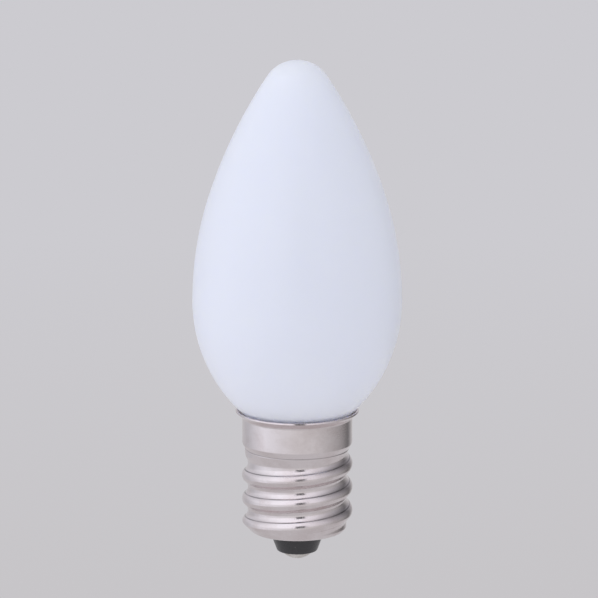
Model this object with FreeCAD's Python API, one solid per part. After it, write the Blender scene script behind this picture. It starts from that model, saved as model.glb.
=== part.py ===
import FreeCAD, Part
import math
import os

# Candle bulb of the small night-light kind: an opal glass envelope, tip up, in a rolled screw cap.
# Millimetres, +Z up along the axis, origin at the lowest point of the solder under the centre contact.

# Envelope
OVERALL_HEIGHT = 53.5
BULB_DIAMETER = 22.0
WIDEST_ABOVE_LIP = 11.85
TIP_RADIUS = 3.75
SHOULDER_SHARE = 0.5
SHOULDER_TIGHTNESS = 0.91
THROAT_RADIUS = 2.0
THROAT_DEPTH = 2.15
NECK_END_BEVEL = 1.2
NECK_END_ABOVE_INSULATOR = 2.9
EXHAUST_STUB_RADIUS = 0.9
EXHAUST_STUB_LENGTH = 1.0
ARC_PARTS = 3

# Screw cap, rolled from one sheet
SHEET = 0.25
THREAD_DIAMETER = 11.7
THREAD_PITCH = 2.54
THREAD_DEPTH = 0.635
COLLAR_SET_IN = 0.04
COLLAR_HEIGHT = 2.8
COLLAR_FOOT = 0.54
COLLAR_ROUND = 0.45
LIP_FLARE = 0.69
LIP_HEIGHT = 0.61
NECK_STEP = 0.27
NECK_BAND = 0.1
NECK_SLOPE = 0.7
THREADED_LENGTH = 8.26
BOTTOM_ROUND = 0.6
BOTTOM_EDGE_INSET = 0.385
BOTTOM_SLOPE = 45.0
BOTTOM_HOLE_RADIUS = 2.85

# Thread run: one crest's height at +X, and the cone that the crest fades out in below the collar
CREST_ABOVE_BOTTOM = 2.24
RUN_OUT_START = 2.0
RUN_OUT_SINK = 0.09
THREAD_CHORDS = (0.22, 0.68)
CURVE_POINTS_PER_TURN = 12

# Insulator, contact and leads
BOSS_HEIGHT = 2.05
BOSS_FOOT_RADIUS = 2.2
BOSS_ROUND = 0.3
INSULATOR_THICKNESS = 2.0
INSULATOR_TOP_RADIUS = 3.4
INSULATOR_EDGE = 1.3
EYELET_RADIUS = 1.9
EYELET_SHEET = 0.25
EYELET_RECESS = 0.15
EYELET_TUBE_RADIUS = 0.6
EYELET_TUBE_ABOVE = 0.3
SOLDER_HEIGHT = 0.9
SOLDER_RADIUS = 1.75
SOLDER_PLUG = 1.6
LEAD_RADIUS = 0.12
LEAD_SPREAD = 1.6
LEAD_BEND = 0.5
LEAD_DROP = 0.7

# Cement ring
CEMENT_HEIGHT = 2.3

# Fits
SEAT_CLEARANCE = 0.03
NECK_CLEARANCE = 0.45

AXIS = FreeCAD.Vector(0, 0, 1)
ORIGIN = FreeCAD.Vector(0, 0, 0)

# Heights, from the solder up
eyelet_bottom = SOLDER_HEIGHT
boss_bottom = eyelet_bottom + EYELET_SHEET - EYELET_RECESS
shell_bottom = boss_bottom + BOSS_HEIGHT
thread_top = shell_bottom + THREADED_LENGTH
neck_bottom = thread_top + NECK_SLOPE
collar_foot = neck_bottom + NECK_BAND
collar_bottom = collar_foot + COLLAR_FOOT
crease = collar_bottom + COLLAR_HEIGHT
lip_top = crease + LIP_HEIGHT
insulator_top = shell_bottom + SHEET + INSULATOR_THICKNESS
glass_end = insulator_top + NECK_END_ABOVE_INSULATOR

# Radii
crest_radius = THREAD_DIAMETER / 2
root_radius = crest_radius - THREAD_DEPTH
collar_radius = crest_radius - COLLAR_SET_IN
lip_radius = collar_radius + LIP_FLARE
neck_band_radius = root_radius + NECK_STEP
bottom_radius = root_radius - BOTTOM_EDGE_INSET
bottom_rise = math.tan(math.radians(BOTTOM_SLOPE))
shell_bore = root_radius - SHEET
glass_neck_radius = min(shell_bore, collar_radius - SHEET) - NECK_CLEARANCE


def at(r, z):
    """A point of the half section, r from the axis and z up."""
    return FreeCAD.Vector(r, 0, z)


def line(start, end):
    """A straight edge between two points of the section."""
    return Part.LineSegment(at(*start), at(*end)).toShape()


def arc(centre, radius, first, last):
    """An arc about a centre, from one angle to another, in radians up from +X."""
    angles = (first, (first + last) / 2, last)
    points = [at(centre[0] + radius * math.cos(a), centre[1] + radius * math.sin(a)) for a in angles]
    return Part.Arc(*points).toShape()


def long_arc(centre, radius, first, last):
    """A long arc in equal parts, because a turned face that is short along the axis meshes lighter."""
    step = (last - first) / ARC_PARTS
    return [arc(centre, radius, first + step * i, first + step * (i + 1)) for i in range(ARC_PARTS)]


def rounded_path(corners):
    """Edges through corners (r, z, radius): straight runs joined by tangent arcs where the radius isn't 0."""
    edges = []
    here = corners[0][:2]
    for before, corner, after in zip(corners, corners[1:], corners[2:]):
        into = unit(before, corner)
        out = unit(corner, after)
        turn = math.atan2(into[0] * out[1] - into[1] * out[0], into[0] * out[0] + into[1] * out[1])
        reach = corner[2] * math.tan(abs(turn) / 2)
        start = (corner[0] - into[0] * reach, corner[1] - into[1] * reach)
        edges.append(line(here, start))
        here = start
        if reach:
            side = math.copysign(1, turn)
            centre = (start[0] - side * into[1] * corner[2], start[1] + side * into[0] * corner[2])
            first = math.atan2(start[1] - centre[1], start[0] - centre[0])
            edges.append(arc(centre, corner[2], first, first + turn))
            here = (corner[0] + out[0] * reach, corner[1] + out[1] * reach)
    edges.append(line(here, corners[-1][:2]))
    return edges


def unit(start, end):
    """The direction from one point of the section to another, as (r, z) of length 1."""
    length = math.hypot(end[0] - start[0], end[1] - start[1])
    return ((end[0] - start[0]) / length, (end[1] - start[1]) / length)


def inset(corners, distance):
    """The same path moved sideways by a distance to its right, with its rounding kept concentric."""
    moved = []
    for i, corner in enumerate(corners):
        into = unit(corners[max(i - 1, 0)], corners[max(i, 1)])
        out = unit(corners[min(i, len(corners) - 2)], corners[min(i + 1, len(corners) - 1)])
        across = (into[1] + out[1], -into[0] - out[0])
        stretch = distance / (1 + into[0] * out[0] + into[1] * out[1])
        turn = into[0] * out[1] - into[1] * out[0]
        radius = corner[2] + math.copysign(distance, turn) if corner[2] else 0
        moved.append((corner[0] + across[0] * stretch, corner[1] + across[1] * stretch, radius))
    return moved


def turned(edges):
    """The solid that a closed outline makes when it is turned about the axis."""
    return Part.Face(Part.Wire(Part.__sortEdges__(edges))).revolve(ORIGIN, AXIS, 360)


def turned_outline(corners):
    """A turned solid from the corners of a closed outline, each (r, z, radius)."""
    start = corners[0]
    return turned(rounded_path(corners + [start]))


def envelope():
    """The sealed glass: tip, side, shoulder, belly and throat as tangent arcs, then neck and exhaust stub."""
    widest_radius = BULB_DIAMETER / 2
    widest = lip_top + WIDEST_ABOVE_LIP
    tip = (0, OVERALL_HEIGHT - TIP_RADIUS)
    rise = tip[1] - widest
    # one arc from the widest circle to the tip would have this radius and turn
    plain_radius = (widest_radius**2 + rise**2 - TIP_RADIUS**2) / (2 * (widest_radius - TIP_RADIUS))
    plain_turn = math.atan2(rise, plain_radius - widest_radius)
    shoulder_radius = plain_radius * SHOULDER_TIGHTNESS
    shoulder_turn = plain_turn * SHOULDER_SHARE
    shoulder = (widest_radius - shoulder_radius, widest)
    joint = (
        shoulder[0] + shoulder_radius * math.cos(shoulder_turn),
        shoulder[1] + shoulder_radius * math.sin(shoulder_turn),
    )
    # the side arc leaves the shoulder tangentially and meets the tip tangentially
    away = (joint[0] - tip[0], joint[1] - tip[1])
    along = away[0] * math.cos(shoulder_turn) + away[1] * math.sin(shoulder_turn)
    side_radius = (away[0] ** 2 + away[1] ** 2 - TIP_RADIUS**2) / (2 * (along - TIP_RADIUS))
    side = (
        joint[0] - side_radius * math.cos(shoulder_turn),
        joint[1] - side_radius * math.sin(shoulder_turn),
    )
    tip_turn = math.atan2(tip[1] - side[1], tip[0] - side[0])
    # the belly arc leaves the widest circle and meets the hollow throat tangentially
    throat = (glass_neck_radius + THROAT_RADIUS, lip_top - THROAT_DEPTH)
    drop = widest - throat[1]
    reach = widest_radius - throat[0]
    belly_radius = (reach**2 + drop**2 - THROAT_RADIUS**2) / (2 * (reach + THROAT_RADIUS))
    belly = (widest_radius - belly_radius, widest)
    belly_turn = math.atan2(throat[1] - belly[1], throat[0] - belly[0])
    outline = [
        arc(tip, TIP_RADIUS, math.pi / 2, tip_turn),
        *long_arc(side, side_radius, tip_turn, shoulder_turn),
        *long_arc(shoulder, shoulder_radius, shoulder_turn, 0),
        *long_arc(belly, belly_radius, 0, belly_turn),
        arc(throat, THROAT_RADIUS, belly_turn + math.pi, math.pi),
    ]
    outline += rounded_path(
        [
            (glass_neck_radius, throat[1], 0),
            (glass_neck_radius, glass_end + NECK_END_BEVEL, 0),
            (glass_neck_radius - NECK_END_BEVEL, glass_end, 0),
            (EXHAUST_STUB_RADIUS, glass_end, 0),
            (EXHAUST_STUB_RADIUS, glass_end - EXHAUST_STUB_LENGTH, 0),
            (0, glass_end - EXHAUST_STUB_LENGTH, 0),
            (0, OVERALL_HEIGHT, 0),
        ]
    )
    return turned(outline)


def head_path():
    """The cap's outside from the lip down to the foot of its neck, which goes on inside the thread's root."""
    slope = (neck_band_radius - root_radius) / NECK_SLOPE
    sunk = 2 * SHEET
    return [
        (lip_radius, lip_top, 0),
        (collar_radius, crease, 0),
        (collar_radius, collar_bottom, COLLAR_ROUND),
        (neck_band_radius, collar_foot, 0),
        (neck_band_radius, neck_bottom, 0),
        (root_radius - sunk * slope, thread_top - sunk, 0),
    ]


def limit_path():
    """The most that the thread may fill: a cone that its crest runs out in, and the sloped, rounded bottom."""
    far = crest_radius + SHEET
    sunk_radius = neck_band_radius - RUN_OUT_SINK
    run_out = (crest_radius - sunk_radius) / RUN_OUT_START
    inner = root_radius - SHEET
    return [
        (inner, collar_foot + (sunk_radius - inner) / run_out, 0),
        (far, collar_foot - (far - sunk_radius) / run_out, 0),
        (far, shell_bottom + (far - bottom_radius) * bottom_rise, 0),
        (bottom_radius, shell_bottom, BOTTOM_ROUND),
        (BOTTOM_HOLE_RADIUS, shell_bottom, 0),
    ]


def filled(path):
    """The turned solid inside a path, closed flat to the axis at both ends."""
    top = (0, path[0][1], 0)
    return turned_outline([top] + path + [(0, path[-1][1], 0)])


def thread_outline(depth_in):
    """One pitch of the thread's section as (height from the crest line, radius), from root to root.

    Crest and root are arcs of one radius that meet on the flank, with chords standing for them.
    depth_in moves the section into the sheet, so that the inner thread lies parallel to the outer one.
    """
    half = THREAD_PITCH / 2
    round_radius = (half**2 + THREAD_DEPTH**2) / (4 * THREAD_DEPTH)
    flank_turn = math.asin(half / (2 * round_radius))
    crest_round = round_radius - depth_in
    root_round = round_radius + depth_in
    crest_centre = crest_radius - round_radius
    root_centre = root_radius + round_radius
    near, far = (flank_turn * share for share in THREAD_CHORDS)
    upper = [
        (crest_round * math.sin(near), crest_centre + crest_round * math.cos(near)),
        (crest_round * math.sin(far), crest_centre + crest_round * math.cos(far)),
        (half - root_round * math.sin(far), root_centre - root_round * math.cos(far)),
        (half - root_round * math.sin(near), root_centre - root_round * math.cos(near)),
    ]
    return [(-height, radius) for height, radius in upper[::-1]] + upper


def one_turn(height, radius):
    """A curve of one turn about the axis that climbs one pitch from a height at +X."""
    shares = [i / CURVE_POINTS_PER_TURN for i in range(CURVE_POINTS_PER_TURN + 1)]
    points = []
    for share in shares:
        angle = 2 * math.pi * share
        z = height + THREAD_PITCH * share
        points.append(FreeCAD.Vector(radius * math.cos(angle), radius * math.sin(angle), z))
    curve = Part.BSplineCurve()
    curve.interpolate(Points=points, Parameters=shares)
    return curve


def ruled(first, second):
    """The face of straight lines between two curves that share their knots."""
    surface = Part.BSplineSurface()
    surface.buildFromPolesMultsKnots(
        [list(pair) for pair in zip(first.getPoles(), second.getPoles())],
        first.getMultiplicities(),
        [2, 2],
        first.getKnots(),
        [0.0, 1.0],
        False,
        False,
        first.Degree,
        1,
    )
    return surface.toShape()


def threaded_bar(depth_in):
    """A bar with the thread all along it, longer than the cap's thread at both ends.

    Each turn is a ring of ruled bands. Winding ramps and flat steps to the axis close the ends.
    """
    outline = thread_outline(depth_in)
    start = shell_bottom + CREST_ABOVE_BOTTOM - 2 * THREAD_PITCH
    turns = math.ceil((limit_path()[0][1] - start) / THREAD_PITCH) + 1
    heights = [start + THREAD_PITCH * turn + height for turn in range(turns) for height, _ in outline]
    radii = [radius for _, radius in outline] * turns
    heights.append(heights[0] + THREAD_PITCH * turns)
    radii.append(radii[0])
    curves = [one_turn(height, radius) for height, radius in zip(heights, radii)]
    faces = [ruled(lower, upper) for lower, upper in zip(curves, curves[1:])]
    for curve, height in ((curves[0], heights[0]), (curves[-1], heights[-1])):
        faces.append(ruled(curve, one_turn(height, 0)))
    for first, rise in ((0, 0), (-1 - len(outline), THREAD_PITCH)):
        last = first + len(outline)
        corners = [at(radii[i], heights[i] + rise) for i in range(first, last + 1)]
        corners += [at(0, corners[-1].z), at(0, corners[0].z), corners[0]]
        faces.append(Part.Face(Part.makePolygon(corners)))
    skin = Part.makeCompound(faces)
    skin.sewShape()
    bar = Part.Solid(skin.Shells[0])
    if bar.Volume < 0:
        bar.reverse()
    return bar


def screw_shell():
    """The rolled cap: flared lip, collar, neck band, screw thread seen inside and out, and holed bottom."""
    head = head_path()
    limit = limit_path()
    body = threaded_bar(0).common(filled(limit)).fuse(filled(head))
    inner_head = inset(head, SHEET)
    flare = unit(inner_head[1], inner_head[0])
    climb = (lip_top + LIP_HEIGHT - inner_head[0][1]) / flare[1]
    inner_head[0] = (inner_head[0][0] + flare[0] * climb, lip_top + LIP_HEIGHT, 0)
    hollow = threaded_bar(SHEET).common(filled(inset(limit, SHEET))).fuse(filled(inner_head))
    hole = Part.makeCylinder(BOTTOM_HOLE_RADIUS, 3 * SHEET, at(0, shell_bottom - SHEET))
    return body.cut(hollow.fuse(hole)).Solids[0]


def cap_insulator():
    """Black glass poured into the cap's bottom, with a boss through the hole and a bore for the eyelet."""
    floor = shell_bottom + SHEET
    bore = EYELET_TUBE_RADIUS + SEAT_CLEARANCE
    recess = EYELET_RADIUS + SEAT_CLEARANCE
    boss = BOTTOM_HOLE_RADIUS - SEAT_CLEARANCE
    side = shell_bore - 2 * SEAT_CLEARANCE
    foot = bottom_radius - SHEET - SEAT_CLEARANCE
    return turned_outline(
        [
            (bore, insulator_top, 0),
            (bore, boss_bottom + EYELET_RECESS, 0),
            (recess, boss_bottom + EYELET_RECESS, 0),
            (recess, boss_bottom, 0),
            (BOSS_FOOT_RADIUS, boss_bottom, BOSS_ROUND),
            (boss, shell_bottom, 0),
            (boss, floor, 0),
            (foot, floor, 0),
            (side, floor + (side - foot) * bottom_rise, 0),
            (side, floor + INSULATOR_EDGE, 0),
            (INSULATOR_TOP_RADIUS, insulator_top, 0),
        ]
    )


def contact_eyelet():
    """The brass contact: a flat flange in the boss's recess and a tube up through the insulator."""
    bore = EYELET_TUBE_RADIUS - EYELET_SHEET
    return turned_outline(
        [
            (bore, eyelet_bottom, 0),
            (EYELET_RADIUS, eyelet_bottom, 0),
            (EYELET_RADIUS, eyelet_bottom + EYELET_SHEET, 0),
            (EYELET_TUBE_RADIUS, eyelet_bottom + EYELET_SHEET, 0),
            (EYELET_TUBE_RADIUS, insulator_top + EYELET_TUBE_ABOVE, 0),
            (bore, insulator_top + EYELET_TUBE_ABOVE, 0),
        ]
    )


def solder_tip():
    """The drop of solder under the eyelet, with the plug that fills the bottom of its tube."""
    plug = EYELET_TUBE_RADIUS - EYELET_SHEET
    drop_radius = (SOLDER_RADIUS**2 + SOLDER_HEIGHT**2) / (2 * SOLDER_HEIGHT)
    edge_angle = math.atan2(SOLDER_HEIGHT - drop_radius, SOLDER_RADIUS)
    outline = [arc((0, drop_radius), drop_radius, -math.pi / 2, edge_angle)]
    outline += rounded_path(
        [
            (SOLDER_RADIUS, eyelet_bottom, 0),
            (plug, eyelet_bottom, 0),
            (plug, eyelet_bottom + SOLDER_PLUG, 0),
            (0, eyelet_bottom + SOLDER_PLUG, 0),
            (0, 0, 0),
        ]
    )
    return turned(outline)


def lead_wire(corners):
    """A round wire along a path in the plane of the half section."""
    path = Part.Wire(rounded_path(corners))
    start = at(*corners[0][:2])
    heading = at(*unit(corners[0], corners[1]))
    section = Part.Wire(Part.Circle(start, heading, LEAD_RADIUS).toShape())
    return path.makePipeShell([section], True, False)


def lead_wire_contact():
    """The lead from the glass down into the eyelet, to the top of the solder plug."""
    bend_start = glass_end - LEAD_DROP
    bend_end = insulator_top + EYELET_TUBE_ABOVE + LEAD_DROP
    return lead_wire(
        [
            (LEAD_SPREAD, glass_end, 0),
            (LEAD_SPREAD, bend_start, LEAD_BEND),
            (0, bend_end, LEAD_BEND),
            (0, eyelet_bottom + SOLDER_PLUG, 0),
        ]
    )


def lead_wire_shell():
    """The lead that turns out under the glass and runs up between the neck and the cap."""
    wall = shell_bore - LEAD_RADIUS - SEAT_CLEARANCE
    return lead_wire(
        [
            (-LEAD_SPREAD, glass_end, 0),
            (-LEAD_SPREAD, glass_end - LEAD_DROP, LEAD_BEND),
            (-wall, glass_end - LEAD_DROP, LEAD_BEND),
            (-wall, neck_bottom, 0),
        ]
    )


def basing_cement():
    """The ring of cement that holds the glass neck in the collar."""
    inner = glass_neck_radius + SEAT_CLEARANCE
    outer = collar_radius - SHEET - SEAT_CLEARANCE
    throat = lip_top - THROAT_DEPTH
    bottom = collar_bottom + SHEET
    top = bottom + CEMENT_HEIGHT
    over_throat = math.sqrt(max(THROAT_RADIUS**2 - max(top - throat, 0) ** 2, 0))
    inner_top = glass_neck_radius + THROAT_RADIUS - over_throat + SEAT_CLEARANCE
    return turned_outline(
        [
            (inner, bottom, 0),
            (outer, bottom, 0),
            (outer, top, 0),
            (inner_top, top, 0),
            (inner, throat, 0),
        ]
    )


PIECES = {
    "glass_bulb": envelope,
    "screw_shell": screw_shell,
    "cap_insulator": cap_insulator,
    "contact_eyelet": contact_eyelet,
    "solder_tip": solder_tip,
    "lead_wire_contact": lead_wire_contact,
    "lead_wire_shell": lead_wire_shell,
    "basing_cement": basing_cement,
}

os.makedirs("parts", exist_ok=True)
for name, build in PIECES.items():
    shape = build()
    shape.exportStep(f"parts/{name}.step")
    print(name, shape.ShapeType, shape.isValid(), round(shape.Volume, 3))
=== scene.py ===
"""The looks of a small opal candle lamp on a rolled screw cap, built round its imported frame."""

import logging
import math
from dataclasses import dataclass
from enum import Enum

import bpy
import numpy as np
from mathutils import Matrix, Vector


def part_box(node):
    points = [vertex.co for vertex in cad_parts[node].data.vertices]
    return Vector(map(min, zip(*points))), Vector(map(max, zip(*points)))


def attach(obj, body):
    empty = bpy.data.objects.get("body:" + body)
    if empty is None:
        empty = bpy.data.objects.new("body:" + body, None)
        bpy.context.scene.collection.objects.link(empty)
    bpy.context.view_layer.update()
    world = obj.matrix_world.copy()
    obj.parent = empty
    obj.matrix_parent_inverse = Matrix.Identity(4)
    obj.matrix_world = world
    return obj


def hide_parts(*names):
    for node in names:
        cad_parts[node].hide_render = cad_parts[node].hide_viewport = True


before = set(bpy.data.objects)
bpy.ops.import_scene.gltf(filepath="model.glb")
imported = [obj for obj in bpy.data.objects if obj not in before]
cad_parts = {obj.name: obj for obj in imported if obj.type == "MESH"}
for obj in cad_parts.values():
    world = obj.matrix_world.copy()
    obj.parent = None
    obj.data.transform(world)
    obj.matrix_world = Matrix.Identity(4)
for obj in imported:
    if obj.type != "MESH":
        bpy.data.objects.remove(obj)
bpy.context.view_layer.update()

log = logging.getLogger("candle_lamp")

MM = 0.001
FULL_TURN = 2 * math.pi

# Points nearer than this, in millimetres, are one
SAME_POINT = 1e-6

# Gap in millimetres between pieces that nearly touch
CLEARANCE = 0.03

# Fewest steps along an arc as long as its radius
STEPS_A_RADIUS = 3

# Faces that meet at more than this are shaded apart
SHARP_EDGE = math.radians(40)

# Name of the colours that the tent's mesh carries
SHADES = "shade"

Pair = tuple[float, float]
Triple = tuple[float, float, float]
Point = Pair
Corner = Triple
Colour = Triple
Object = bpy.types.Object
Material = bpy.types.Material
Node = bpy.types.Node
Socket = bpy.types.NodeSocket
Value = float | Socket
Shade = Colour | Socket


class Ends(Enum):
    """How a turned skin is closed at its first and last row."""

    RING = "the last row joins the first"
    POLES = "the first and last rows lie on the axis"


def arc_rows(centre: Point, radius: float, first: float, last: float, step: float) -> np.ndarray:
    """Points of an arc: centre plus radius times (cos, sin) of evenly spaced angles.

    Args:
        centre: Centre of the arc as (r, z), in mm.
        radius: Radius in mm.
        first: Angle of the first point, in radians up from the r axis.
        last: Angle of the last point.
        step: Greatest distance between points, in mm.

    Returns:
        An array of (r, z) rows.
    """
    count = max(int(math.ceil(abs(last - first) * radius / step)), 2) + 1
    angle = np.linspace(first, last, count)
    return np.stack([centre[0] + radius * np.cos(angle), centre[1] + radius * np.sin(angle)], axis=1)


def line_rows(start: Point, end: Point, step: float) -> np.ndarray:
    """Evenly spaced points of a straight run, both ends included.

    Args:
        start: First point as (r, z), in mm.
        end: Last point.
        step: Greatest distance between points, in mm.

    Returns:
        An array of (r, z) rows.
    """
    length = math.dist(start, end)
    count = max(int(math.ceil(length / step)), 1) + 1
    share = np.linspace(0, 1, count)[:, None]
    return np.array(start) * (1 - share) + np.array(end) * share


def rounded_rows(corners: list[Corner], step: float) -> np.ndarray:
    """Points along straight runs whose corners are rounded by tangent arcs.

    Each corner's arc starts radius times tan(half the turn) before the corner and ends as far after it.

    Args:
        corners: Corners as (r, z, radius), in mm.
        step: Greatest distance between points, in mm.

    Returns:
        An array of (r, z) rows without doubled points.
    """
    parts = []
    here = corners[0][:2]
    for before, corner, after in zip(corners, corners[1:], corners[2:]):
        into = np.array(corner[:2]) - before[:2]
        out = np.array(after[:2]) - corner[:2]
        into /= np.hypot(*into)
        out /= np.hypot(*out)
        turn = math.atan2(into[0] * out[1] - into[1] * out[0], into @ out)
        reach = corner[2] * math.tan(abs(turn) / 2)
        start = np.array(corner[:2]) - into * reach
        parts.append(line_rows(here, tuple(start), step))
        here = tuple(np.array(corner[:2]) + out * reach)
        if reach:
            side = math.copysign(1, turn)
            centre = start + side * corner[2] * np.array([-into[1], into[0]])
            first = math.atan2(start[1] - centre[1], start[0] - centre[0])
            fine = min(step, corner[2] / STEPS_A_RADIUS)
            parts.append(arc_rows(tuple(centre), corner[2], first, first + turn, fine))
    parts.append(line_rows(here, corners[-1][:2], step))
    rows = np.concatenate(parts)
    apart = np.hypot(*np.diff(rows, axis=0).T) > SAME_POINT
    return rows[np.concatenate([[True], apart])]


def angles_round(columns: int) -> np.ndarray:
    """Evenly spaced angles of one turn.

    Args:
        columns: Number of steps round the axis.

    Returns:
        The angles, in radians.
    """
    return np.linspace(0, FULL_TURN, columns, endpoint=False)


def add_object(name: str, data: bpy.types.ID) -> Object:
    """Puts a new object in the scene.

    Args:
        name: The object's name.
        data: Its mesh, camera or light.

    Returns:
        The new object.
    """
    made = bpy.data.objects.new(name, data)
    bpy.context.scene.collection.objects.link(made)
    return made


def grid_faces(upper: np.ndarray, lower: np.ndarray) -> list[list[int]]:
    """Quads between rows of points that close round the axis.

    Args:
        upper: Numbers of the points, a row for each row of quads.
        lower: Numbers of the points one row further down.

    Returns:
        The faces.
    """
    corners = [upper, lower, np.roll(lower, -1, axis=1), np.roll(upper, -1, axis=1)]
    return np.stack(corners, axis=-1).reshape(-1, 4).tolist()


def skin_object(
    name: str, radii: np.ndarray, heights: np.ndarray, angles: np.ndarray, ends: Ends
) -> Object:
    """A closed skin of quads about the axis: x = r cos a, y = r sin a and z = height, on a grid.

    Rows run so that a step down the outside times a step round points outwards.

    Args:
        name: Name of the object and its mesh.
        radii: Radius of each row and column, in mm.
        heights: Height of each row and column, in mm.
        angles: Angle of each column, in radians.
        ends: How the first and last rows are closed.

    Returns:
        The new mesh object, smooth shaded.
    """
    rows, columns = radii.shape
    grid = np.stack([radii * np.cos(angles), radii * np.sin(angles), heights], axis=-1)
    if ends is Ends.RING:
        points = grid.reshape(-1, 3)
        number = np.arange(rows * columns).reshape(rows, columns)
        faces = grid_faces(number, np.roll(number, -1, axis=0))
    else:
        points = np.concatenate([grid[0, :1], grid[1:-1].reshape(-1, 3), grid[-1, :1]])
        number = 1 + np.arange((rows - 2) * columns).reshape(rows - 2, columns)
        first = np.zeros(columns, int)
        last = np.full(columns, len(points) - 1)
        faces = grid_faces(number[:-1], number[1:])
        faces += np.stack([first, number[0], np.roll(number[0], -1)], axis=-1).tolist()
        faces += np.stack([number[-1], last, np.roll(number[-1], -1)], axis=-1).tolist()
    mesh = bpy.data.meshes.new(name)
    mesh.from_pydata((points * MM).tolist(), [], faces)
    mesh.validate()
    mesh.shade_smooth()
    mesh.set_sharp_from_angle(angle=SHARP_EDGE)
    log.info("%s: %d faces", name, len(mesh.polygons))
    return add_object(name, mesh)


def turned_object(name: str, rows: np.ndarray, columns: int, ends: Ends) -> Object:
    """A closed skin that is the same all round.

    Args:
        name: Name of the object and its mesh.
        rows: Section as (r, z) rows, in mm.
        columns: Number of steps round the axis.
        ends: How the first and last rows are closed.

    Returns:
        The new mesh object.
    """
    radii = np.repeat(rows[:, :1], columns, axis=1)
    heights = np.repeat(rows[:, 1:], columns, axis=1)
    return skin_object(name, radii, heights, angles_round(columns), ends)


def smooth_share(value: np.ndarray, start: float, end: float) -> np.ndarray:
    """A share that eases from 0 at start to 1 at end: t * t * (3 - 2 t).

    Args:
        value: Values to ease.
        start: Value where the share is 0.
        end: Value where the share is 1.

    Returns:
        The eased shares.
    """
    share = np.clip((value - start) / (end - start), 0, 1)
    return share * share * (3 - 2 * share)


def blended_greater(first: np.ndarray, second: np.ndarray, width: float) -> np.ndarray:
    """The greater of two surfaces, with a soft valley where they cross.

    Args:
        first: One surface's radii, in mm.
        second: The other surface's radii.
        width: Difference under which they blend, in mm.

    Returns:
        The blended radii.
    """
    near = np.clip(width - np.abs(first - second), 0, None) / width
    return np.maximum(first, second) + near**2 * width / 4


def place(made: Object, node: str, material: Material) -> None:
    """Sets a new piece in for a CAD node.

    Args:
        made: The new object.
        node: Name of the CAD node that it stands for.
        material: The piece's material.
    """
    made.data.materials.append(material)
    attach(made, "root")
    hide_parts(node)


# Shader building


@dataclass
class Nodes:
    """A short way to place and join the nodes of a material or a group."""

    tree: bpy.types.NodeTree

    def fill(self, node: Node, inputs: dict) -> None:
        """Fills some of a node's inputs.

        Args:
            node: The node.
            inputs: Input name or number to a value, a linear colour or an output socket to join.
        """
        for key, value in inputs.items():
            socket = node.inputs[key]
            if isinstance(value, Socket):
                self.tree.links.new(value, socket)
            else:
                socket.default_value = (*value, 1) if socket.type == "RGBA" else value

    def add(self, kind: str, inputs: dict | None = None, **settings: object) -> Node:
        """Adds a node, sets its options and fills its inputs.

        Args:
            kind: The node's type name.
            inputs: What fills its inputs.
            settings: The node's own options.

        Returns:
            The new node.
        """
        node = self.tree.nodes.new(kind)
        for key, value in settings.items():
            setattr(node, key, value)
        self.fill(node, inputs or {})
        return node

    def ramp(self, factor: Socket, low: float, high: float, start: float, end: float) -> Socket:
        """A clamped straight run from one range of values to another.

        Args:
            factor: Output socket with the value.
            low: Value at the start of the range.
            high: Value at its end.
            start: What low becomes.
            end: What high becomes.

        Returns:
            The output socket.
        """
        inputs = {"Value": factor, "From Min": low, "From Max": high, "To Min": start, "To Max": end}
        return self.add("ShaderNodeMapRange", inputs).outputs["Result"]

    def blend(self, factor: Socket, first: Shade, second: Shade) -> Socket:
        """A colour that runs from first to second.

        Args:
            factor: Output socket with the share of the second colour.
            first: Linear colour at 0, or an output socket with it.
            second: Linear colour at 1, or an output socket with it.

        Returns:
            The colour output socket.
        """
        inputs = {"Factor": factor, 6: first, 7: second}
        return self.add("ShaderNodeMix", inputs, data_type="RGBA").outputs[2]

    def math(self, operation: str, first: Value, second: Value = 0.0) -> Socket:
        """One sum, product or other operation.

        Args:
            operation: The node's operation.
            first: Value or socket.
            second: Value or socket.

        Returns:
            The output socket.
        """
        return self.add("ShaderNodeMath", {0: first, 1: second}, operation=operation).outputs[0]

    def noise(self, where: Socket, scale: Value, detail: float, roughness: float = 0.5) -> Socket:
        """Cloudy noise from 0 to 1.

        Args:
            where: Output socket with the place.
            scale: Clouds a unit of place, as a value or socket.
            detail: Number of finer layers.
            roughness: Strength of each finer layer against the one before.

        Returns:
            The output socket.
        """
        inputs = {"Vector": where, "Scale": scale, "Detail": detail, "Roughness": roughness}
        return self.add("ShaderNodeTexNoise", inputs).outputs["Fac"]

    def bump(self, height: Socket, strength: float, depth: float, **under: Socket) -> Socket:
        """A surface's normal, tilted by a relief.

        Args:
            height: Output socket with the relief.
            strength: Share of the tilt that is kept.
            depth: Height of the relief, in metres.
            under: Normal, an output socket, where the normal to tilt isn't the surface's own.

        Returns:
            The output socket with the normal.
        """
        inputs = {"Height": height, "Strength": strength, "Distance": depth, **under}
        return self.add("ShaderNodeBump", inputs).outputs["Normal"]

    def group(self, name: str, **scales: float) -> bpy.types.bpy_prop_collection:
        """Adds one of the shared groups.

        Args:
            name: The group's name.
            scales: Its inputs, as speck, haze, line or cloud.

        Returns:
            The group's outputs.
        """
        inputs = {f"{key.capitalize()} scale": scale for key, scale in scales.items()}
        return self.add("ShaderNodeGroup", inputs, node_tree=bpy.data.node_groups[name]).outputs


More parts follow.
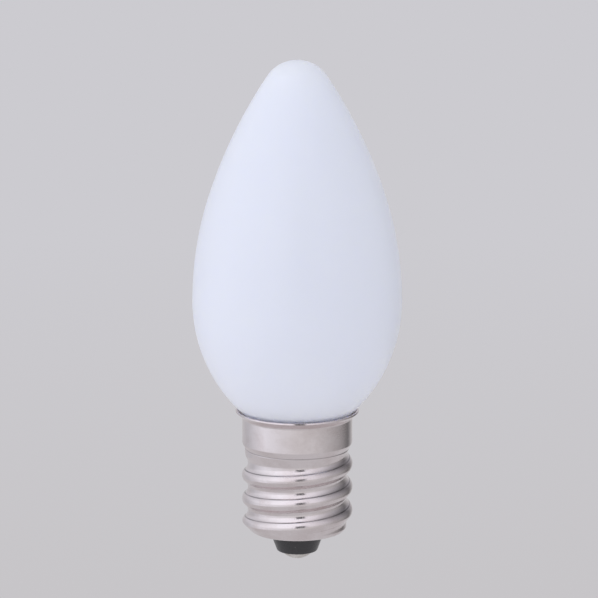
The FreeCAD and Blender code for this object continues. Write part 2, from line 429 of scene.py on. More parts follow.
def new_group(name: str, inputs: dict[str, float], outputs: list[str]) -> tuple[Nodes, Node, Node]:
    """An empty shader group with named number inputs and outputs.

    Args:
        name: The group's name.
        inputs: Input names with their defaults.
        outputs: Output names.

    Returns:
        The group's node builder, its input node and its output node.
    """
    tree = bpy.data.node_groups.new(name, "ShaderNodeTree")
    for key, value in inputs.items():
        socket = tree.interface.new_socket(name=key, in_out="INPUT", socket_type="NodeSocketFloat")
        socket.default_value = value
    for key in outputs:
        tree.interface.new_socket(name=key, in_out="OUTPUT", socket_type="NodeSocketFloat")
    nodes = Nodes(tree)
    return nodes, nodes.add("NodeGroupInput"), nodes.add("NodeGroupOutput")


def build_rolling_marks() -> None:
    """Builds the marks of rolled sheet: lines round the axis, clouds of tarnish and short scratches.

    Lines are noise stretched 40 times round the axis against its height. Clouds are plain noise.
    Scratches are thin ridges of a slanted noise.
    """
    stretch = (90, 90, 3600)
    slant = {"Rotation": (0.5, 0.3, 0.9), "Scale": (2600, 240, 2100)}
    ridge_value = 0.5
    scratch_width = 0.012
    nodes, start, end = new_group(
        "rolling_marks", {"Line scale": 1.0, "Cloud scale": 1.0}, ["Lines", "Clouds", "Scratches"]
    )
    here = nodes.add("ShaderNodeTexCoord").outputs["Object"]
    flat = nodes.add("ShaderNodeVectorMath", {0: here, 1: stretch}, operation="MULTIPLY").outputs[0]
    lines_at, clouds_at = (
        nodes.add("ShaderNodeVectorMath", {0: where, "Scale": scale}, operation="SCALE").outputs[0]
        for where, scale in ((flat, start.outputs["Line scale"]), (here, start.outputs["Cloud scale"]))
    )
    slanted = nodes.add("ShaderNodeMapping", {"Vector": here, **slant}).outputs[0]
    ridges = nodes.noise(slanted, scale=1.0, detail=2.0)
    off_ridge = nodes.math("ABSOLUTE", nodes.math("SUBTRACT", ridges, ridge_value))
    marks = {
        "Lines": nodes.noise(lines_at, scale=2.0, detail=5.0),
        "Clouds": nodes.noise(clouds_at, scale=420.0, detail=6.0, roughness=0.62),
        "Scratches": nodes.ramp(off_ridge, 0.0, scratch_width, 1.0, 0.0),
    }
    nodes.fill(end, marks)


def build_painted_shade_lines() -> None:
    """Builds thin lines of painted light: a painted dark reflection on each ridge's shoulder and one ring
    of painted shade.

    A shoulder line is where height / pitch - angle / one turn, less the first crest's and a quarter
    pitch, is near a whole number. The ring lies under the collar and is fainter. Both are worked out in
    millimetres, and each fades out over its edges, given in half widths.
    """
    shoulder = 0.25
    half = 0.5
    clear_of_ring = 1.0
    line_edge = (0.5, 1.7)
    ring_edge = (0.4, 2.4)
    ring_strength = 0.6
    nodes, start, end = new_group(
        "painted_shade_lines",
        {
            "Pitch": ScrewCap.pitch,
            "First crest": ScrewCap.first_crest,
            "Half width": 0.04,
            "Ring height": 12.1,
        },
        ["Painted shade"],
    )
    pitch, half_width = start.outputs["Pitch"], start.outputs["Half width"]
    ring_height = start.outputs["Ring height"]
    where = nodes.add("ShaderNodeTexCoord").outputs["Object"]
    here = nodes.add("ShaderNodeSeparateXYZ", {0: where}).outputs
    height = nodes.math("MULTIPLY", here["Z"], 1 / MM)
    turn = nodes.math("DIVIDE", nodes.math("ARCTAN2", here["Y"], here["X"]), FULL_TURN)
    raised = nodes.math("SUBTRACT", height, start.outputs["First crest"])
    pitches = nodes.math("SUBTRACT", nodes.math("DIVIDE", raised, pitch), turn)
    phase = nodes.math("FRACT", nodes.math("SUBTRACT", pitches, shoulder - half))
    off_line = nodes.math("MULTIPLY", nodes.math("ABSOLUTE", nodes.math("SUBTRACT", phase, half)), pitch)
    # Painted dark reflection along the upper side of each ridge
    on_line = nodes.ramp(nodes.math("DIVIDE", off_line, half_width), *line_edge, 1.0, 0.0)
    on_thread = nodes.math("LESS_THAN", height, nodes.math("SUBTRACT", ring_height, clear_of_ring))
    off_ring = nodes.math("ABSOLUTE", nodes.math("SUBTRACT", height, ring_height))
    # Painted shade in the corner where the collar's foot meets the neck
    on_ring = nodes.ramp(nodes.math("DIVIDE", off_ring, half_width), *ring_edge, ring_strength, 0.0)
    nodes.fill(end, {"Painted shade": nodes.math("MAXIMUM", nodes.math("MULTIPLY", on_line, on_thread), on_ring)})


def build_dust() -> None:
    """Builds the small specks and soft haze that lie on glass.

    Specks are the centres of Voronoi cells under a size. Haze is plain noise.
    """
    speck_edge = (0.04, 0.1)
    nodes, start, end = new_group("dust", {"Speck scale": 900.0, "Haze scale": 90.0}, ["Specks", "Haze"])
    here = nodes.add("ShaderNodeTexCoord").outputs["Object"]
    cell = {"Vector": here, "Randomness": 1.0, "Scale": start.outputs["Speck scale"]}
    off_centre = nodes.add("ShaderNodeTexVoronoi", cell).outputs["Distance"]
    specks = nodes.ramp(off_centre, *speck_edge, 1.0, 0.0)
    haze = nodes.noise(here, start.outputs["Haze scale"], detail=4.0)
    nodes.fill(end, {"Specks": specks, "Haze": haze})


@dataclass(frozen=True)
class Finish:
    """A material; each kind gives the Principled shader its own inputs."""

    name: str

    def inputs(self, nodes: Nodes) -> dict:
        """Builds what feeds the shader.

        Args:
            nodes: The material's node builder.

        Returns:
            The shader's inputs, as Nodes.fill takes them.
        """
        return {}

    def material(self) -> Material:
        """Builds the material.

        Returns:
            The material.
        """
        material = bpy.data.materials.new(self.name)
        material.use_nodes = True
        nodes = Nodes(material.node_tree)
        nodes.fill(material.node_tree.nodes["Principled BSDF"], self.inputs(nodes))
        return material


@dataclass(frozen=True)
class OpalGlass(Finish):
    """Opal glass: milky, faintly blue, with a soft gloss and much of its light passing under its skin."""

    name: str = "opal_glass"
    colour: Colour = (0.80, 0.833, 1.0)
    deep_colour: Colour = (0.78, 0.815, 0.99)
    haze_range: Pair = (0.1, 0.9)
    roughness: Pair = (0.25, 0.36)
    wave: float = 0.05
    wave_depth: float = 0.0004
    subsurface: float = 0.7
    subsurface_reach: float = 0.004
    subsurface_spread: Colour = (1.0, 1.0, 1.1)
    refraction: float = 1.5

    def inputs(self, nodes: Nodes) -> dict:
        """Builds what feeds the shader.

        Args:
            nodes: The material's node builder.

        Returns:
            The shader's inputs.
        """
        haze = nodes.group("dust", speck=700.0, haze=110.0)["Haze"]
        deep = nodes.ramp(haze, *self.haze_range, 0, 1)
        return {
            "Base Color": nodes.blend(deep, self.colour, self.deep_colour),
            "Roughness": nodes.ramp(haze, *self.haze_range, *self.roughness),
            "Normal": nodes.bump(haze, self.wave, self.wave_depth),
            "Subsurface Weight": self.subsurface,
            "Subsurface Scale": self.subsurface_reach,
            "Subsurface Radius": self.subsurface_spread,
            "IOR": self.refraction,
        }


@dataclass(frozen=True)
class NickelPlate(Finish):
    """Nickel on rolled sheet: warm and glossy, with lines, tarnish, scratches and thin lines of painted
    shade and painted dark reflection.
    """

    name: str = "nickel_plate"
    colour: Colour = (0.83, 0.775, 0.78)
    tarnish: Colour = (0.73, 0.66, 0.655)
    tarnish_range: Pair = (0.42, 0.72)
    # Colour of the painted shade under the collar and of the painted dark reflection along the ridges
    painted_shade: Colour = (0.20, 0.19, 0.195)
    painted_shade_range: Pair = (0.35, 0.65)
    painted_shade_strength: Pair = (0.95, 0.4)
    line_range: Pair = (0.3, 0.7)
    roughness: Pair = (0.08, 0.18)
    scratch_roughness: float = 0.08
    tarnish_roughness: float = 0.12
    line_bump: float = 0.18
    line_depth: float = 0.00001
    dent_bump: float = 0.2
    dent_depth: float = 0.00005

    def inputs(self, nodes: Nodes) -> dict:
        """Builds what feeds the shader.

        Args:
            nodes: The material's node builder.

        Returns:
            The shader's inputs.
        """
        marks = nodes.group("rolling_marks", line=1.0, cloud=1.0)
        painted_shade_mask = nodes.group("painted_shade_lines")["Painted shade"]
        clouded = nodes.ramp(marks["Clouds"], *self.tarnish_range, 0, 1)
        patchy_shade = nodes.ramp(marks["Clouds"], *self.painted_shade_range, *self.painted_shade_strength)
        tone = nodes.blend(clouded, self.colour, self.tarnish)
        lined = nodes.ramp(marks["Lines"], *self.line_range, *self.roughness)
        scratched = nodes.math("MULTIPLY", marks["Scratches"], self.scratch_roughness)
        tarnished = nodes.math("MULTIPLY", clouded, self.tarnish_roughness)
        relief = nodes.math("SUBTRACT", marks["Lines"], marks["Scratches"])
        lines = nodes.bump(relief, self.line_bump, self.line_depth)
        return {
            # The base colour is darkened in patches by the painted shade and painted dark reflection lines
            "Base Color": nodes.blend(nodes.math("MULTIPLY", painted_shade_mask, patchy_shade), tone, self.painted_shade),
            "Metallic": 1.0,
            "Roughness": nodes.math("ADD", nodes.math("ADD", lined, scratched), tarnished),
            "Normal": nodes.bump(marks["Clouds"], self.dent_bump, self.dent_depth, Normal=lines),
        }


@dataclass(frozen=True)
class BlackGlass(Finish):
    """The poured black glass of the contact's insulator, glossy with a few specks."""

    name: str = "black_glass"
    colour: Colour = (0.024, 0.024, 0.027)
    speck_colour: Colour = (0.16, 0.155, 0.15)
    haze_range: Pair = (0.35, 0.7)
    roughness: Pair = (0.16, 0.41)
    wave: float = 0.4
    wave_depth: float = 0.00006
    refraction: float = 1.55

    def inputs(self, nodes: Nodes) -> dict:
        """Builds what feeds the shader.

        Args:
            nodes: The material's node builder.

        Returns:
            The shader's inputs.
        """
        dust = nodes.group("dust", speck=1900.0, haze=700.0)
        return {
            "Base Color": nodes.blend(dust["Specks"], self.colour, self.speck_colour),
            "Roughness": nodes.ramp(dust["Haze"], *self.haze_range, *self.roughness),
            "Normal": nodes.bump(dust["Haze"], self.wave, self.wave_depth),
            "IOR": self.refraction,
        }


@dataclass(frozen=True)
class SoftMetal(Finish):
    """Brass, solder or lead wire: a clouded metal that is duller where it is tarnished."""

    colour: Colour
    tarnish: Colour
    roughness: float
    relief: float
    tarnish_range: Pair = (0.38, 0.66)
    tarnish_roughness: float = 0.2
    bump: float = 0.6

    def inputs(self, nodes: Nodes) -> dict:
        """Builds what feeds the shader.

        Args:
            nodes: The material's node builder.

        Returns:
            The shader's inputs.
        """
        clouds = nodes.group("rolling_marks", line=0.6, cloud=3.0)["Clouds"]
        clouded = nodes.ramp(clouds, *self.tarnish_range, 0, 1)
        dull = nodes.math("MULTIPLY", clouded, self.tarnish_roughness)
        return {
            "Base Color": nodes.blend(clouded, self.colour, self.tarnish),
            "Metallic": 1.0,
            "Roughness": nodes.math("ADD", dull, self.roughness),
            "Normal": nodes.bump(clouds, self.bump, self.relief),
        }


@dataclass(frozen=True)
class BakedCement(Finish):
    """The pale, gritty cement that holds the glass in the cap."""

    name: str = "baked_cement"
    colour: Colour = (0.74, 0.69, 0.62)
    grit: Colour = (0.60, 0.54, 0.46)
    roughness: float = 0.9
    bump: float = 0.8
    grit_depth: float = 0.0002

    def inputs(self, nodes: Nodes) -> dict:
        """Builds what feeds the shader.

        Args:
            nodes: The material's node builder.

        Returns:
            The shader's inputs.
        """
        haze = nodes.group("dust", speck=2400.0, haze=900.0)["Haze"]
        return {
            "Base Color": nodes.blend(haze, self.colour, self.grit),
            "Roughness": self.roughness,
            "Normal": nodes.bump(haze, self.bump, self.grit_depth),
        }


# The lamp's pieces


@dataclass
class Envelope:
    """The opal glass bulb: tip, side, shoulder, belly and hollow throat as tangent arcs, then its neck."""

    top: float
    widest_radius: float
    widest_height: float = 27.91
    tip_radius: float = 3.75
    shoulder_share: float = 0.5
    shoulder_tightness: float = 0.91
    neck_radius: float = 4.515
    throat_radius: float = 2.0
    throat_height: float = 13.91
    neck_end: float = 8.2
    neck_end_round: float = 1.5
    stub_radius: float = 0.9
    stub_length: float = 1.0
    stub_round: float = 0.5
    columns: int = 256
    step: float = 0.3
    tight_step: float = 0.15
    neck_step: float = 0.5

    def section(self) -> np.ndarray:
        """The section from the tip down the outside to the stub's foot.

        The side leaves the shoulder and meets the tip's circle tangentially, and the belly leaves the
        widest circle and meets the throat's tangentially, which gives both radii.

        Returns:
            An array of (r, z) rows, in mm, on the axis at both ends.
        """
        tip = (0.0, self.top - self.tip_radius)
        rise = tip[1] - self.widest_height
        wide = self.widest_radius
        plain_radius = (wide**2 + rise**2 - self.tip_radius**2) / (2 * (wide - self.tip_radius))
        plain_turn = math.atan2(rise, plain_radius - wide)
        shoulder_radius = plain_radius * self.shoulder_tightness
        turn = plain_turn * self.shoulder_share
        shoulder = (wide - shoulder_radius, self.widest_height)
        lean = (math.cos(turn), math.sin(turn))
        joint = (shoulder[0] + shoulder_radius * lean[0], shoulder[1] + shoulder_radius * lean[1])
        away = (joint[0] - tip[0], joint[1] - tip[1])
        along = away[0] * lean[0] + away[1] * lean[1]
        side_radius = (away[0] ** 2 + away[1] ** 2 - self.tip_radius**2) / (2 * (along - self.tip_radius))
        side = (joint[0] - side_radius * lean[0], joint[1] - side_radius * lean[1])
        tip_turn = math.atan2(tip[1] - side[1], tip[0] - side[0])
        throat = (self.neck_radius + self.throat_radius, self.throat_height)
        drop = self.widest_height - throat[1]
        reach = wide - throat[0]
        belly_radius = (reach**2 + drop**2 - self.throat_radius**2) / (2 * (reach + self.throat_radius))
        belly = (wide - belly_radius, self.widest_height)
        belly_turn = math.atan2(throat[1] - belly[1], throat[0] - belly[0])
        neck = rounded_rows(
            [
                (self.neck_radius, throat[1], 0),
                (self.neck_radius, self.neck_end, self.neck_end_round),
                (self.stub_radius, self.neck_end, 0),
                (self.stub_radius, self.neck_end - self.stub_length, self.stub_round),
                (0, self.neck_end - self.stub_length, 0),
            ],
            self.neck_step,
        )
        return np.concatenate(
            [
                arc_rows(tip, self.tip_radius, math.pi / 2, tip_turn, self.tight_step),
                arc_rows(side, side_radius, tip_turn, turn, self.step)[1:],
                arc_rows(shoulder, shoulder_radius, turn, 0, self.step)[1:],
                arc_rows(belly, belly_radius, 0, belly_turn, self.step)[1:],
                arc_rows(throat, self.throat_radius, belly_turn + math.pi, math.pi, self.tight_step)[1:],
                neck[1:],
            ]
        )

    def build(self, material: Material) -> None:
        """Makes the glass and dresses it.

        Args:
            material: The glass's material.
        """
        made = turned_object("opal_envelope", self.section(), self.columns, Ends.POLES)
        place(made, "glass_bulb", material)


@dataclass
class ScrewCap:
    """The rolled cap of one sheet: flared lip, collar, neck, right-handed thread and holed bottom."""

    sheet: float = 0.25
    lip_radius: float = 6.5
    lip_top: float = 16.06
    collar_radius: float = 5.81
    crease: float = 15.45
    crease_round: float = 0.22
    collar_bottom: float = 12.65
    collar_round: float = 0.45
    foot_radius: float = 5.485
    foot_height: float = 12.11
    foot_round: float = 0.06
    neck_bottom: float = 12.01
    thread_top: float = 11.31
    crest_radius: float = 5.85
    depth: float = 0.635
    pitch: float = 2.54
    first_crest: float = 0.21
    run_in: Pair = (0.95, 1.55)
    run_out: Pair = (4.0, 5.0)
    bottom: float = 3.05
    bottom_edge: float = 4.83
    bottom_round: float = 0.6
    bottom_rise: float = 1.12
    hole_radius: float = 2.94
    blend_width: float = 0.14
    edge_round: float = 0.07
    head_gap: float = 0.02
    head_step: float = 0.12
    thread_step: float = 0.05
    taper_step: float = 0.08
    inner_rows: int = 3
    columns: int = 256

    def ridge(self, angles: np.ndarray, heights: np.ndarray) -> np.ndarray:
        """How far the thread stands over its root.

        The crest line climbs one pitch a turn. Crest and root are arcs of one radius,
        (half squared + depth squared) / (4 depth) for half a pitch, that meet on the flank, and the
        ridge eases in and out over part of a turn at each end.

        Args:
            angles: Angle of each point, in radians.
            heights: Height of each point, in mm.

        Returns:
            The rise of each point, in mm.
        """
        half = self.pitch / 2
        arc = (half**2 + self.depth**2) / (4 * self.depth)
        turns = (heights - self.first_crest) / self.pitch - angles / FULL_TURN
        crest = np.round(turns)
        off = np.abs(turns - crest) * self.pitch
        on_crest = self.depth - arc + np.sqrt(np.clip(arc**2 - off**2, 0, None))
        on_root = arc - np.sqrt(np.clip(arc**2 - (half - off) ** 2, 0, None))
        rise = np.where(off < half / 2, on_crest, on_root)
        turn = crest + angles / FULL_TURN
        return rise * smooth_share(turn, *self.run_in) * (1 - smooth_share(turn, *self.run_out))

    def outside(self, angles: np.ndarray) -> tuple[np.ndarray, np.ndarray]:
        """The outer skin from the lip down to the hole, as radii and heights on a grid.

        The greater of the neck's cone and the thread is taken, then the lesser of that and the
        bottom's 45 degree cone, whose foot is rounded into the flat round the hole.

        Args:
            angles: Angle of each column, in radians.

        Returns:
            Radii and heights, in mm.
        """
        root = self.crest_radius - self.depth
        head = rounded_rows(
            [
                (self.lip_radius, self.lip_top, 0),
                (self.collar_radius, self.crease, self.crease_round),
                (self.collar_radius, self.collar_bottom, self.collar_round),
                (self.foot_radius, self.foot_height, self.foot_round),
                (self.foot_radius, self.neck_bottom + self.head_gap, 0),
            ],
            self.head_step,
        )
        taper = rounded_rows(
            [
                (self.bottom_edge + self.bottom_rise, self.bottom + self.bottom_rise, 0),
                (self.bottom_edge, self.bottom, self.bottom_round),
                (self.hole_radius, self.bottom, 0),
            ],
            self.taper_step,
        )
        rows = int((self.neck_bottom - taper[0, 1]) / self.thread_step)
        run = np.linspace(self.neck_bottom, taper[0, 1], rows)[:-1]
        height = np.concatenate([run, taper[:, 1]])
        slope = (self.foot_radius - root) / (self.neck_bottom - self.thread_top)
        neck = np.minimum(self.foot_radius + (height - self.neck_bottom) * slope, self.foot_radius)
        limit = np.concatenate([self.bottom_edge + run - self.bottom, taper[:, 0]])
        threaded = root + self.ridge(angles[None, :], height[:, None])
        radius = blended_greater(threaded, neck[:, None], self.blend_width)
        radius = -blended_greater(-radius, -limit[:, None], self.blend_width)
        columns = len(angles)
        radii = np.concatenate([np.repeat(head[:, :1], columns, 1), radius])
        levels = np.concatenate([head[:, 1], height])
        return radii, np.repeat(levels[:, None], columns, 1)

    def build(self, material: Material) -> None:
        """Makes the cap's sheet, both skins and their edges, and dresses it.

        The inner skin lies one sheet inside the outer one, along the normal of each column's section,
        with fewer rows. One row half-way between the skins rounds the lip's edge, and one the hole's.

        Args:
            material: The cap's material.
        """
        angles = angles_round(self.columns)
        outer = np.stack(self.outside(angles))
        along = np.gradient(outer, axis=1)
        along /= np.hypot(*along)
        inner = outer + np.stack([along[1], -along[0]]) * self.sheet
        middle = (outer + inner) / 2
        lip = middle[:, :1] - along[:, :1] * self.edge_round
        hole = middle[:, -1:] + along[:, -1:] * self.edge_round
        last = outer.shape[1] - 1
        kept = np.unique(np.append(np.arange(0, last, self.inner_rows), last))[::-1]
        radii, heights = np.concatenate([lip, outer, hole, inner[:, kept]], axis=1)
        made = skin_object("rolled_cap", radii, heights, angles, Ends.RING)
        place(made, "screw_shell", material)


@dataclass
class ContactEnd:
    """The black insulator with its boss, the brass eyelet in it and the drop of solder underneath."""

    boss_top: float = 2.95
    boss_bottom: float = 0.86
    boss_radius: float = ScrewCap.hole_radius - CLEARANCE
    boss_foot_radius: float = 2.12
    boss_round: float = 0.2
    eyelet_radius: float = 1.9
    eyelet_bottom: float = 0.9
    eyelet_sheet: float = 0.25
    flange_top: float = eyelet_bottom + eyelet_sheet
    tube_radius: float = 0.6
    tube_top: float = 5.6
    insulator_top: float = 5.3
    top_radius: float = 3.4
    side_top: float = 4.6
    side_bottom: float = 3.655
    side_radius: float = 4.905
    foot: Point = (4.55, 3.3)
    solder_radius: float = 1.76
    solder_plug_top: float = 2.5
    waves: tuple[Triple, ...] = ((0.022, 3, 0.6), (0.014, 7, 2.0), (0.01, 17, 0.0))
    top_round: float = 0.1
    side_round: float = 0.2
    root_round: float = 0.05
    recess_round: float = 0.03
    eyelet_round: float = 0.08
    rolled_round: float = 0.12
    section_step: float = 0.15
    fine_step: float = 0.12
    dome_step: float = 0.06
    columns: int = 160

    def build_insulator(self, material: Material) -> None:
        """Makes the insulator as a turned ring with a tapered boss.

        Args:
            material: The insulator's material.
        """
        bore = self.tube_radius + CLEARANCE
        recess = self.eyelet_radius + CLEARANCE
        corners = [
            (bore, self.insulator_top, 0),
            (self.top_radius, self.insulator_top, self.top_round),
            (self.side_radius, self.side_top, self.side_round),
            (self.side_radius, self.side_bottom, self.side_round),
            (*self.foot, self.top_round),
            (self.boss_radius, self.foot[1], 0),
            (self.boss_radius, self.boss_top, self.root_round),
            (self.boss_foot_radius, self.boss_bottom, self.boss_round),
            (recess, self.boss_bottom, self.recess_round),
            (recess, self.flange_top, 0),
            (bore, self.flange_top, 0),
        ]
        rows = rounded_rows(corners, self.section_step)
        made = turned_object("poured_insulator", rows, self.columns, Ends.RING)
        place(made, "cap_insulator", material)

    def build_eyelet(self, material: Material) -> None:
        """Makes the eyelet: a flange with a rolled edge and its tube.

        Args:
            material: The eyelet's material.
        """
        bore = self.tube_radius - self.eyelet_sheet
        corners = [
            (bore, self.tube_top, 0),
            (self.tube_radius, self.tube_top, self.eyelet_round),
            (self.tube_radius, self.flange_top, self.root_round),
            (self.eyelet_radius, self.flange_top, self.eyelet_round),
            (self.eyelet_radius, self.eyelet_bottom, self.rolled_round),
            (bore, self.eyelet_bottom, self.root_round),
        ]
        rows = rounded_rows(corners, self.fine_step)
        made = turned_object("contact_flange", rows, self.columns, Ends.RING)
        place(made, "contact_eyelet", material)

    def build_solder(self, material: Material) -> None:
        """Makes the drop of solder: a dome whose edge wanders a little, and the plug in the tube.

        The dome's radius is that of the plain drop times 1 + the sum of small waves round the axis, each
        size * sin(count * angle + phase), which fade to nothing at its middle.

        Args:
            material: The solder's material.
        """
        height = self.eyelet_bottom
        drop = (self.solder_radius**2 + height**2) / (2 * height)
        edge = math.atan2(height - drop, self.solder_radius)
        plug = self.tube_radius - self.eyelet_sheet
        dome = arc_rows((0, drop), drop, edge, -math.pi / 2, self.dome_step)
        top = rounded_rows(
            [
                (0, self.solder_plug_top, 0),
                (plug, self.solder_plug_top, 0),
                (plug, height, 0),
                (self.solder_radius, height, 0),
            ],
            self.fine_step,
        )
        rows = np.concatenate([top, dome[1:]])
        angles = angles_round(self.columns)
        wave = sum(size * np.sin(count * angles + phase) for size, count, phase in self.waves)
        outward = np.clip((rows[:, 0] - plug) / (self.solder_radius - plug), 0, 1)[:, None]
        radii = rows[:, :1] * (1 + wave[None, :] * outward)
        heights = np.repeat(rows[:, 1:], self.columns, axis=1)
        made = skin_object("solder_drop", radii, heights, angles, Ends.POLES)
        place(made, "solder_tip", material)


@dataclass
class CementRing:
    """The cement between the glass's neck and the collar, wiped off level just inside the flared lip."""

    bottom: float = 12.9
    inner: float = Envelope.neck_radius + CLEARANCE
    outer: float = ScrewCap.collar_radius - ScrewCap.sheet - CLEARANCE
    throat: float = Envelope.throat_height
    lip_foot: Point = (5.54, 15.4)
    lip_top: Point = (6.08, 15.92)
    glass_top: Point = (5.8, 15.95)
    glass_foot: Point = (4.98, 15.15)
    edge_round: float = 0.05
    cap_round: float = 0.1
    glass_round: float = 0.3
    step: float = 0.15
    columns: int = 128

    def build(self, material: Material) -> None:
        """Makes the ring as one turned section.

        Args:
            material: The cement's material.
        """
        corners = [
            (*self.glass_top, 0),
            (*self.lip_top, self.edge_round),
            (*self.lip_foot, self.cap_round),
            (self.outer, self.bottom, self.cap_round),
            (self.inner, self.bottom, self.cap_round),
            (self.inner, self.throat, self.glass_round),
            (*self.glass_foot, self.glass_round),
            (*self.glass_top, 0),
        ]
        rows = rounded_rows(corners, self.step)[:-1]
        made = turned_object("wiped_cement", rows, self.columns, Ends.RING)
        place(made, "basing_cement", material)


def dress_leads(material: Material) -> None:
    """Gives the two hidden leads, which keep their CAD shapes, their material.

    Args:
        material: The leads' material.
    """
    for name in ("lead_wire_contact", "lead_wire_shell"):
        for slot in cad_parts[name].material_slots:
            slot.material = material
        log.info("%s: dressed", name)


# The studio


def hang_glowing(name: str, mesh: bpy.types.Mesh, colour: Colour | None = None) -> Object:
    """Hangs a mesh in the studio that glows and that only shiny parts see.

    Args:
        name: Name of the object and its material.
        mesh: The mesh.
        colour: Linear colour, or None to read the mesh's own colours, named SHADES.

    Returns:
        The new object.
    """
    made = add_object(name, mesh)
    material = bpy.data.materials.new(name)
    material.use_nodes = True
    nodes = Nodes(material.node_tree)
    shade = colour or nodes.add("ShaderNodeAttribute", attribute_name=SHADES).outputs["Color"]
    glow = nodes.add("ShaderNodeEmission", {"Color": shade, "Strength": 1.0})
    nodes.fill(material.node_tree.nodes["Material Output"], {"Surface": glow.outputs[0]})
    mesh.materials.append(material)
    made.visible_camera = False
    made.visible_diffuse = False
    made.visible_shadow = False
    return made


@dataclass
class Studio:
    """A grey floor as backdrop, soft light, the tent and card that the metal mirrors, and the camera."""

    camera_elevation: float = 12.8
    camera_distance: float = 0.55
    camera_clip: Pair = (0.01, 20.0)
    sensor: float = 36.0
    aim: Triple = (0.00019, 0.0, 0.02809)
    view_width: float = 0.0627
    floor_height: float = -0.5
    floor_reach: float = 4.0
    floor_roughness: float = 0.9
    floor_fade: Pair = (1.72, 2.48)
    near_colour: Colour = (0.57112, 0.55834, 0.57758)
    far_colour: Colour = (0.60383, 0.5972, 0.63076)
    room_colour: Colour = (0.80, 0.80, 0.81)
    tent_radius: float = 0.58
    tent_tint: Triple = (-0.03, 0.98, 0.05)
    card_azimuth: float = 5
    card_size: Pair = (0.17, 0.28)
    card_tone: Colour = (0.11, 0.11, 0.115)
    card_distance: float = 0.5

    # In degrees: the tent's low rows, first, limit and step of the others, its top, and its step round
    tent_low_levels: tuple[float, ...] = (-24, -18, -12, -8)
    tent_levels: tuple[int, int, int] = (-5, 90, 3)
    tent_top: float = 89.9
    tent_turn: int = 4
    tent_ease: Pair = (-5, 12)

    # Azimuth, then the tent's tone low down and high up
    tent_tones: tuple[Triple, ...] = (
        (-180, 0.60, 0.60),
        (-124, 0.54, 0.68),
        (-78, 0.89, 1.00),
        (-45, 0.80, 1.08),
        (0, 0.68, 1.00),
        (38, 0.63, 0.82),
        (78, 0.47, 0.48),
        (105, 0.35, 0.30),
        (118, 0.25, 0.20),
        (132, 0.16, 0.14),
        (150, 0.40, 0.36),
        (165, 0.60, 0.60),
        (180, 0.60, 0.60),
    )

    # Name, azimuth, elevation, distance, then width and height, watts and tint
    lights: tuple[tuple, ...] = (
        ("key", -65, 8, 0.6, (0.75, 0.7), 1.37, (0.985, 0.985, 1)),
        ("fill", 60, 5, 0.6, (0.3, 0.3), 0.45, (1, 0.98, 0.95)),
        ("table_bounce", 0, -80, 0.42, (0.4, 0.4), 0.5, (1, 0.965, 0.88)),
    )

    def stand(self, thing: Object, azimuth: float, elevation: float, distance: float) -> None:
        """Stands something round the lamp, facing it.

        Args:
            thing: The object.
            azimuth: Degrees to the right of the camera's side, seen from the camera.
            elevation: Degrees above the horizon.
            distance: Distance from the lamp, in metres.
        """
        side = math.radians(azimuth)
        up = math.radians(elevation)
        way = Vector((math.sin(side) * math.cos(up), -math.cos(side) * math.cos(up), math.sin(up)))
        thing.location = Vector(self.aim) + way * distance
        thing.rotation_mode = "QUATERNION"
        thing.rotation_quaternion = (-way).to_track_quat("-Z", "Y")

    def build_camera(self) -> None:
        """Places the camera so that the picture is view_width wide at the lamp's axis."""
        data = bpy.data.cameras.new("camera")
        data.sensor_width = self.sensor
        data.lens = self.sensor * self.camera_distance / self.view_width
        data.clip_start, data.clip_end = self.camera_clip
        camera = add_object("camera", data)
        self.stand(camera, 0, self.camera_elevation, self.camera_distance)
        bpy.context.scene.camera = camera

    def build_floor(self) -> None:
        """Makes the floor, whose near and far greys the camera and shiny parts see as they are, unlit."""
        mesh = bpy.data.meshes.new("floor")
        reach = self.floor_reach
        corners = [(-reach, -reach), (reach, -reach), (reach, reach), (-reach, reach)]
        mesh.from_pydata([(x, y, self.floor_height) for x, y in corners], [], [(0, 1, 2, 3)])
        floor = add_object("floor", mesh)
        material = bpy.data.materials.new("floor_paper")
        material.use_nodes = True
        nodes = Nodes(material.node_tree)
        shader = material.node_tree.nodes["Principled BSDF"]
        nodes.fill(shader, {"Base Color": self.near_colour, "Roughness": self.floor_roughness})
        where = nodes.add("ShaderNodeTexCoord").outputs["Object"]
        depth = nodes.add("ShaderNodeSeparateXYZ", {0: where}).outputs["Y"]
        tone = nodes.blend(nodes.ramp(depth, *self.floor_fade, 0, 1), self.near_colour, self.far_colour)
        seen = nodes.add("ShaderNodeEmission", {"Color": tone, "Strength": 1.0})
        path = nodes.add("ShaderNodeLightPath").outputs
        direct = nodes.math("MAXIMUM", path["Is Camera Ray"], path["Is Glossy Ray"])
        direct = nodes.math("MAXIMUM", direct, path["Is Transmission Ray"])
        mixed = nodes.add("ShaderNodeMixShader", {0: direct, 1: shader.outputs[0], 2: seen.outputs[0]})
        nodes.fill(material.node_tree.nodes["Material Output"], {"Surface": mixed.outputs[0]})
        mesh.materials.append(material)

    def build_lights(self) -> None:
        """Hangs soft boxes that face the lamp and that shiny parts don't see, as they see the tent."""
        for name, azimuth, elevation, distance, size, power, tint in self.lights:
            data = bpy.data.lights.new(name, "AREA")
            data.shape = "RECTANGLE"
            data.size, data.size_y = size
            data.energy = power
            data.color = tint
            light = add_object(name, data)
            self.stand(light, azimuth, elevation, distance)
            light.visible_glossy = False

    def build_card(self) -> None:
        """Stands a dark card where the camera is, which only the lamp's shiny parts see."""
        mesh = bpy.data.meshes.new("camera_body")
        x, y = np.array(self.card_size) / 2
        mesh.from_pydata([(-x, -y, 0), (x, -y, 0), (x, y, 0), (-x, y, 0)], [], [(0, 1, 2, 3)])
        card = hang_glowing("camera_body", mesh, self.card_tone)
        self.stand(card, self.card_azimuth, self.camera_elevation, self.card_distance)

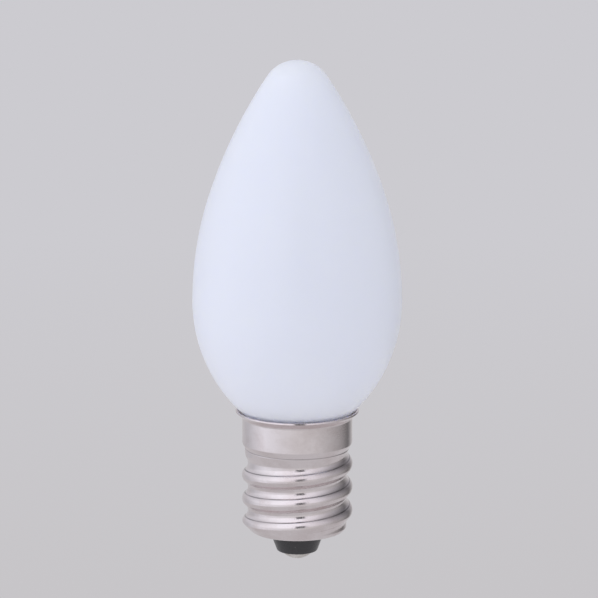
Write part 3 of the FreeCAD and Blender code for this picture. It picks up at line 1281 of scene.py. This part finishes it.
    def build_tent(self) -> None:
        """Stands the pale tent round the lamp that only its shiny parts see, as a grid of a sphere's rows.

        Its tone is read along the azimuth from two rows of values, and eases from the low row to the high
        one over tent_ease, in degrees. It is a little bluer on the left and above.
        """
        levels = np.array([*self.tent_low_levels, *range(*self.tent_levels), self.tent_top])
        level, turn = np.meshgrid(levels, np.arange(-180, 180, self.tent_turn), indexing="ij")
        azimuths, low_tones, high_tones = np.transpose(self.tent_tones)
        low = np.interp(turn, azimuths, low_tones)
        high = np.interp(turn, azimuths, high_tones)
        share = smooth_share(level, *self.tent_ease)
        tone = low * (1 - share) + high * share
        up = np.radians(level)
        side = np.radians(turn)
        cool = np.clip(-np.sin(side), 0, 1)
        less_red, green, more_blue = self.tent_tint
        red = tone * (1 + less_red * cool)
        blue = tone * (1 + more_blue * np.maximum(share, cool))
        tint = np.stack([red, tone * green, blue, np.ones_like(tone)], axis=-1)
        way = np.stack([np.sin(side) * np.cos(up), -np.cos(side) * np.cos(up), np.sin(up)], axis=-1)
        points = (np.array(self.aim) + way * self.tent_radius).reshape(-1, 3)
        number = np.arange(tone.size).reshape(tone.shape)
        mesh = bpy.data.meshes.new("tent")
        mesh.from_pydata(points.tolist(), [], grid_faces(number[:-1], number[1:]))
        shades = mesh.color_attributes.new(SHADES, "FLOAT_COLOR", "POINT")
        shades.data.foreach_set("color", tint.astype(np.float32).ravel())
        tent = hang_glowing("tent", mesh)

    def build_room(self) -> None:
        """Sets the even light of a pale room."""
        world = bpy.data.worlds.new("room")
        world.use_nodes = True
        world.node_tree.nodes["Background"].inputs["Color"].default_value = (*self.room_colour, 1)
        bpy.context.scene.world = world

    def build(self) -> None:
        """Builds the whole studio."""
        self.build_camera()
        self.build_floor()
        self.build_room()
        self.build_tent()
        self.build_lights()
        self.build_card()
        bpy.context.scene.view_settings.view_transform = "Standard"


def main() -> None:
    """Builds the studio and the lamp, piece by piece."""
    logging.basicConfig(level=logging.INFO, format="%(name)s: %(message)s")
    for build_group in (build_rolling_marks, build_painted_shade_lines, build_dust):
        build_group()
    Studio().build()
    brass = SoftMetal("contact_brass", (0.62, 0.52, 0.38), (0.42, 0.33, 0.22), roughness=0.25, relief=2e-5)
    solder = SoftMetal("solder", (0.86, 0.84, 0.81), (0.66, 0.63, 0.59), roughness=0.34, relief=8e-5)
    wire = SoftMetal("lead_wire", (0.60, 0.40, 0.30), (0.40, 0.26, 0.20), roughness=0.35, relief=1e-5)
    low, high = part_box("glass_bulb")
    top = high.z / MM
    widest = (high.x - low.x) / 2 / MM
    Envelope(top, widest).build(OpalGlass().material())
    ScrewCap().build(NickelPlate().material())
    contact = ContactEnd()
    contact.build_insulator(BlackGlass().material())
    contact.build_eyelet(brass.material())
    contact.build_solder(solder.material())
    dress_leads(wire.material())
    CementRing().build(BakedCement().material())


if __name__ == "__main__":
    main()
